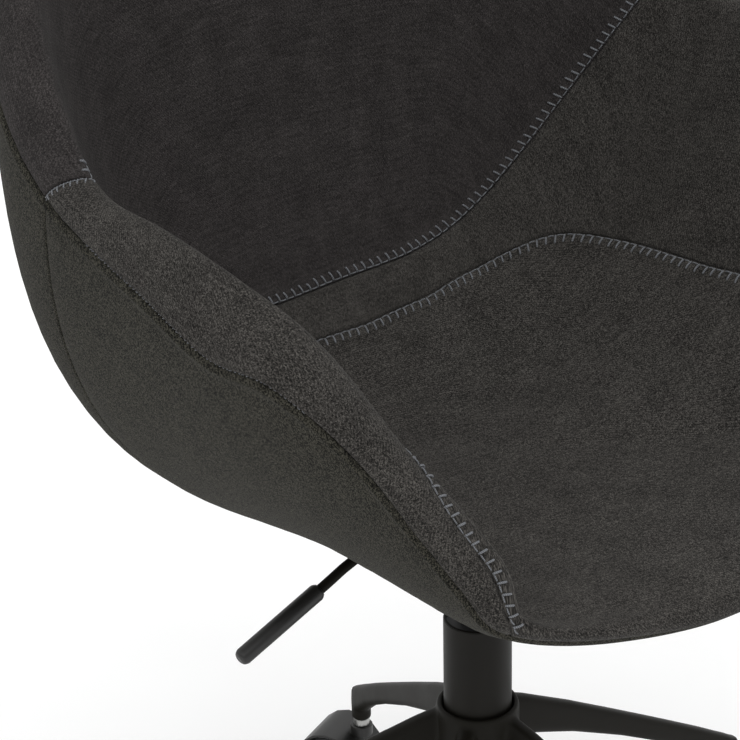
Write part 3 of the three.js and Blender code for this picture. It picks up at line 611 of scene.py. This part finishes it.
def seam_threads(u, s, shape, radius, side, pitch=STITCH_PITCH):
    """Thread paths (count by points by 3) at an even pitch along a seam, the cloth's normal and the radius."""
    line = shell_point(u, s)
    run = np.concatenate([[0], np.cumsum(np.linalg.norm(np.diff(line, axis=0), axis=1))])
    count = int(run[-1] / pitch)
    places = (np.arange(count) + FIRST_STITCH) * run[-1] / count
    slack = SEAM_NOISE.normal(0, 1, (count, 3))
    u, s = np.interp(places, run, u), np.interp(places, run, s)
    along = unit(np.stack([np.interp(places, run, np.gradient(line[:, k], run)) for k in range(3)], -1))
    by_station = (shell_point(u + 0.01, s) - shell_point(u - 0.01, s)) / 0.02
    by_place = (shell_point(u, s + 0.005) - shell_point(u, s - 0.005)) / 0.01
    normal = shell_normal(u, s)
    across = unit(np.cross(normal, along))
    toward = by_place if abs(side) == 1 else by_station
    across *= (np.sign((across * toward).sum(-1)) * np.sign(side))[:, None]
    paths = []
    for share, reach, lift in shape:
        reach_here = reach * (1 + REACH_SLACK * slack[:, :1])
        way = along * (share * pitch + RUN_SLACK * slack[:, 1:2]) + across * reach_here
        du, ds = solve_step(by_station, by_place, way)
        lift_here = lift + LIFT_SLACK * slack[:, 2:]
        paths.append(cover_point(u + du, s + ds) + shell_normal(u + du, s + ds) * lift_here)
    return np.stack(paths, 1), normal, radius


def thread_object(name, runs):
    """Many short bent threads as one mesh of closed tubes."""
    points, faces, uvs, start = [], [], [], 0
    for paths, normal, radius in runs:
        count, length = paths.shape[:2]
        ahead = unit(np.gradient(paths, axis=1))
        beside = unit(np.cross(ahead, normal[:, None]))
        above = np.cross(beside, ahead)
        angle = np.linspace(0, 2 * np.pi, THREAD_SIDES, endpoint=False)[:, None]
        around = beside[:, :, None] * np.cos(angle) + above[:, :, None] * np.sin(angle)
        rings = paths[:, :, None] + radius * around
        points.append(rings.reshape(-1, 3))
        steps = np.linalg.norm(np.diff(paths, axis=1), axis=-1)
        way = np.concatenate([np.zeros((count, 1)), np.cumsum(steps, 1)], 1)
        uv = np.stack(np.broadcast_arrays(way[:, :, None], angle[:, 0] * radius), -1)
        uvs.append(uv.reshape(-1, 2))
        index = start + np.arange(count * length * THREAD_SIDES).reshape(count, length, THREAD_SIDES)
        turned = np.roll(index, -1, axis=2)
        sides = np.stack([index[:, :-1], turned[:, :-1], turned[:, 1:], index[:, 1:]], -1)
        faces += sides.reshape(-1, 4).tolist()
        faces += index[:, 0, ::-1].tolist() + index[:, -1].tolist()
        start += index.size
    thread = mesh_object(name, np.vstack(points), faces, THREAD, np.vstack(uvs))
    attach(thread, "seat")


def stitching():
    seat, back = SEAMS["seat"], SEAMS["back"]
    sewn = side_of(seat[0]) > CORNER + 0.05
    u, s = seat[0][sewn], seat[1][sewn]
    thread_object("seat_seam_stitching", [seam_threads(u, s, *kind, -1) for kind in BLANKET_STITCH])
    thread_object("back_seam_stitching", [seam_threads(*back, *kind, 1) for kind in BLANKET_STITCH])
    for hand, side in (("left", -2), ("right", 2)):
        seam = SEAMS["cross_" + hand]
        hem = np.linspace(*HEM_STATIONS, 300)
        hem = hem if hand == "left" else TURN - hem
        dashes = [seam_threads(hem, 2 + 0 * hem, HEM_DASH, HEM_RADIUS, 1, HEM_PITCH)]
        thread_object("hem_stitching_" + hand, dashes)
        stitches = [seam_threads(*seam, *kind, side, SHORT_PITCH) for kind in SHORT_STITCH]
        thread_object("arm_cross_stitching_" + hand, stitches)


def yarn_finish(name, colour):
    """Twisted sewing thread."""
    yarn = Shader(name, colour, 0.6, specular=0.4)
    axes = yarn.node("ShaderNodeSeparateXYZ", {"Vector": yarn.coordinates("UV", (MM, MM, 1))})
    turned = yarn.math("MULTIPLY", axes.outputs[1], 1.8)
    twist = yarn.math("SINE", yarn.math("MULTIPLY_ADD", axes.outputs[0], 5.6, turned))
    tint = np.array(colour)
    tones = (0.0, tuple(tint * 0.6)), (1.0, tuple(tint * 1.3))
    yarn.link(yarn.ramp(yarn.spread(twist, -1, 1), *tones), "Base Color")
    yarn.link(yarn.bump(twist, 0.12 * MM), "Normal")
    return yarn.material


GLOSS_DRIFT = 0.07


def hard_finish(name, colour, roughness, grain, depth, metallic=0.0, specular=0.5):
    """Moulded, painted or plated surface: fine grain in mm, with faint drifts in tone and gloss."""
    hard = Shader(name, colour, roughness, metallic, specular)
    fine = hard.noise(hard.coordinates("Object", (grain * MM,) * 3), detail=3)
    drift = hard.noise(hard.coordinates("Object", (0.04,) * 3), detail=4)
    tint = np.array(colour)
    hard.link(hard.ramp(drift, (0.3, tuple(tint * 0.85)), (0.7, tuple(tint * 1.15))), "Base Color")
    mixed = hard.math("ADD", fine, drift)
    hard.link(hard.spread(mixed, 0.6, 1.4, roughness - GLOSS_DRIFT, roughness + GLOSS_DRIFT), "Roughness")
    hard.link(hard.bump(fine, depth * MM), "Normal")
    return hard.material


THREAD = yarn_finish("blue_grey_thread", (0.155, 0.162, 0.174))
FINISHES = {
    # Near black: the core's own colour, and also painted shade in the seam grooves where the core shows
    # through.
    "moulded_core": hard_finish("dark_core_and_seam_shade", (0.012, 0.012, 0.012), 0.85, 1.0, 0.1),
    "black_steel": hard_finish("black_powder_coat", (0.0092, 0.0084, 0.0062), 0.5, 0.5, 0.03, specular=0.1),
    "column_paint": hard_finish("column_powder_coat", (0.0088, 0.0080, 0.0063), 0.5, 0.45, 0.03, specular=0.15),
    "bright_steel": hard_finish("zinc_plate", (0.42, 0.42, 0.41), 0.32, 0.8, 0.02, metallic=1.0),
    "black_plastic": hard_finish("black_nylon", (0.0100, 0.0098, 0.0092), 0.42, 0.7, 0.04),
    "grey_plastic": hard_finish("grey_tread", (0.03, 0.03, 0.031), 0.55, 0.7, 0.04),
    "rubber": hard_finish("black_rubber", (0.01, 0.01, 0.01), 0.8, 0.6, 0.05),
}
EDGE_ROUNDING = {"castor_hood": 1.6, "castor_wheel": 1.8, "lever_grip": 1.2, "outer_tube": 0.8}  # mm
FINE_EDGE, EDGE_ANGLE = 0.35, math.radians(32)


def finish_cad():
    """Better materials and rounded, evenly shaded edges for the CAD nodes that stay visible."""
    for name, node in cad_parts.items():
        slot = node.data.materials[0].name
        if slot not in FINISHES:
            continue
        node.data.materials[0] = FINISHES[slot]
        kind = "castor_" + name.split("_")[2] if name.startswith("castor") else name
        if "custom_normal" in node.data.attributes:
            node.data.attributes.remove(node.data.attributes["custom_normal"])
        node.data.polygons.foreach_set("use_smooth", [True] * len(node.data.polygons))
        weld = node.modifiers.new("weld", "WELD")
        weld.merge_threshold = JOIN_DISTANCE / 2
        bevel = node.modifiers.new("edges", "BEVEL")
        bevel.width = EDGE_ROUNDING.get(kind, FINE_EDGE) * MM
        bevel.segments, bevel.limit_method, bevel.angle_limit = 3, "ANGLE", EDGE_ANGLE
        bevel.harden_normals = True


# ---------------------------------------------------------------- star base

BASE_ARMS, FIRST_ARM = 5, math.radians(-2.2)
HUB_PROFILE = (
    (25.8, 168), (25.8, 226), (26.7, 230.5), (28.4, 231), (30.2, 229),
    (30.6, 224), (30.6, 206), (31.5, 188), (31.5, 170), (30, 168),
)
# Arm stations: mm from the axis, top, underside, width.
ARM_STATIONS = (
    (24, 227, 186, 17), (45, 217.5, 184.5, 16), (90, 193.5, 167.5, 15), (140, 164.8, 143.5, 15),
    (190, 135.6, 116, 15), (225, 114.8, 94, 15.5), (243, 103.6, 79, 16), (252, 98.2, 72, 16.5),
    (259, 93.5, 69, 15), (263.5, 87, 70, 8),
)
ARM_SQUARENESS = 0.62  # 1 is an ellipse in section, and smaller is boxier
SOCKET_TOP, SOCKET_BOTTOM, SOCKET_RADIUS, SOCKET_PLACE = 92, 66, 8.0, 255
BASE_VOXEL = 1.7


def lofted(rings):
    """Points and faces of a closed tube through equal rings of points."""
    count, size = rings.shape[:2]
    index = np.arange(count * size).reshape(count, size)
    turned = np.roll(index, -1, axis=1)
    faces = np.stack([index[:-1], turned[:-1], turned[1:], index[1:]], -1).reshape(-1, 4).tolist()
    return rings.reshape(-1, 3), faces + [index[0, ::-1].tolist(), index[-1].tolist()]


def revolved(profile, sides, closed):
    """Points and faces of a profile of (radius, height) turned about the Z axis."""
    angle = np.linspace(0, 2 * np.pi, sides, endpoint=False)
    radius, height = np.array(profile, float).T
    radius, height = radius[:, None], height[:, None]
    rings = np.stack(np.broadcast_arrays(radius * np.cos(angle), radius * np.sin(angle), height), -1)
    if closed:
        points, faces = lofted(np.concatenate([rings, rings[:1]]))
        return points, faces[:-2]
    return lofted(rings)


def star_base():
    """Hub, five blade arms and the castor sockets as one casting with soft fillets."""
    angle = np.linspace(0, 2 * np.pi, 24, endpoint=False)
    wide = np.sign(np.cos(angle)) * np.abs(np.cos(angle)) ** ARM_SQUARENESS
    high = np.sign(np.sin(angle)) * np.abs(np.sin(angle)) ** ARM_SQUARENESS
    away, top, bottom, width = (np.array(column)[:, None] for column in zip(*ARM_STATIONS))
    level = (top + bottom) / 2 + high * (top - bottom) / 2
    arm = np.stack(np.broadcast_arrays(away, wide * width / 2, level), -1)
    socket = revolved(((SOCKET_RADIUS, SOCKET_BOTTOM), (SOCKET_RADIUS, SOCKET_TOP)), 24, False)
    solids = [revolved(HUB_PROFILE, 96, True)]
    for i in range(BASE_ARMS):
        heading = FIRST_ARM + 2 * math.pi * i / BASE_ARMS
        turn = np.array(Matrix.Rotation(heading, 3, "Z"))
        solids.append((lofted(arm)[0] @ turn.T, lofted(arm)[1]))
        solids.append(((socket[0] + (SOCKET_PLACE, 0, 0)) @ turn.T, socket[1]))
    points, faces, start = [], [], 0
    for solid_points, solid_faces in solids:
        points.append(solid_points)
        faces += [[start + corner for corner in face] for face in solid_faces]
        start += len(solid_points)
    base = mesh_object("star_base_casting", np.vstack(points), faces, FINISHES["black_steel"])
    remesh = base.modifiers.new("fuse", "REMESH")
    remesh.mode, remesh.voxel_size, remesh.use_smooth_shade = "VOXEL", BASE_VOXEL * MM, True
    soften = base.modifiers.new("fillets", "SMOOTH")
    soften.factor, soften.iterations = 0.5, 5
    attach(base, "base")
    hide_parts("star_base")


finish_cad()
star_base()
liner()
stitching()

# ---------------------------------------------------------------- camera, light and floor

VIEW_AZIMUTH, VIEW_ELEVATION, VIEW_ROLL = math.radians(-40.0), math.radians(27.0), math.radians(-1.0)
VIEW_DISTANCE, VIEW_LENS, SENSOR = 2.6, 181.1, 36.0
VIEW_TARGET = Vector((-0.0571, 0.0480, 0.5024))
ROOM_LOW, ROOM_HIGH = 0.35, 1.45  # light from the horizon and from overhead
KEY_PLACE, KEY_TARGET, KEY_SIZE, KEY_POWER = (-0.9, -1.6, 2.6), (0, 0, 0.5), 1.8, 9
FLOOR_HALF = 20000.0  # mm


def camera():
    away = Vector((
        math.sin(VIEW_AZIMUTH) * math.cos(VIEW_ELEVATION),
        -math.cos(VIEW_AZIMUTH) * math.cos(VIEW_ELEVATION),
        math.sin(VIEW_ELEVATION),
    ))
    level = Vector((math.cos(VIEW_AZIMUTH), math.sin(VIEW_AZIMUTH), 0))
    upright = away.cross(level)
    right = level * math.cos(VIEW_ROLL) + upright * math.sin(VIEW_ROLL)
    up = upright * math.cos(VIEW_ROLL) - level * math.sin(VIEW_ROLL)
    data = bpy.data.cameras.new("camera")
    data.sensor_width, data.lens = SENSOR, VIEW_LENS
    data.clip_end = 50
    obj = bpy.data.objects.new("camera", data)
    turn = Matrix((right, up, away)).transposed().to_4x4()
    obj.matrix_world = Matrix.Translation(VIEW_TARGET + away * VIEW_DISTANCE) @ turn
    bpy.context.scene.collection.objects.link(obj)
    bpy.context.scene.camera = obj


def area_light(name, place, target, size, power):
    data = bpy.data.lights.new(name, "AREA")
    data.shape, data.size, data.energy = "DISK", size, power
    obj = bpy.data.objects.new(name, data)
    obj.location = place
    obj.rotation_euler = (Vector(target) - Vector(place)).to_track_quat("-Z", "Y").to_euler()
    bpy.context.scene.collection.objects.link(obj)


def studio():
    """A white room that is brighter overhead, with one soft key light."""
    world = bpy.data.worlds.new("studio")
    world.use_nodes = True
    nodes, links = world.node_tree.nodes, world.node_tree.links
    way = nodes.new("ShaderNodeTexCoord")
    split = nodes.new("ShaderNodeSeparateXYZ")
    glow = nodes.new("ShaderNodeMapRange")
    for socket, value in zip(("From Min", "From Max", "To Min", "To Max"), (0.0, 1.0, ROOM_LOW, ROOM_HIGH)):
        glow.inputs[socket].default_value = value
    links.new(way.outputs["Generated"], split.inputs[0])
    links.new(split.outputs["Z"], glow.inputs["Value"])
    seen = nodes.new("ShaderNodeLightPath")
    level = nodes.new("ShaderNodeMix")
    level.inputs["B"].default_value = 1.0
    links.new(seen.outputs["Is Camera Ray"], level.inputs["Factor"])
    links.new(glow.outputs[0], level.inputs["A"])
    links.new(level.outputs[0], nodes["Background"].inputs["Strength"])
    nodes["Background"].inputs["Color"].default_value = (1, 1, 1, 1)
    bpy.context.scene.world = world
    area_light("key", KEY_PLACE, KEY_TARGET, KEY_SIZE, KEY_POWER)
    bpy.context.scene.view_settings.view_transform = "Standard"


def floor():
    paper = Shader("white_paper", (0.9, 0.9, 0.9), 0.9)
    speck = paper.noise(paper.coordinates(), 6)
    paper.set(Emission_Color=(1, 1, 1, 1), Emission_Strength=0.1)
    paper.link(paper.ramp(speck, (0.3, (0.93, 0.93, 0.93)), (0.7, (0.95, 0.95, 0.95))), "Base Color")
    points = [(x * FLOOR_HALF, y * FLOOR_HALF, 0) for x, y in ((-1, -1), (1, -1), (1, 1), (-1, 1))]
    mesh_object("floor", points, [(0, 1, 2, 3)], paper.material)


camera()
studio()
floor()
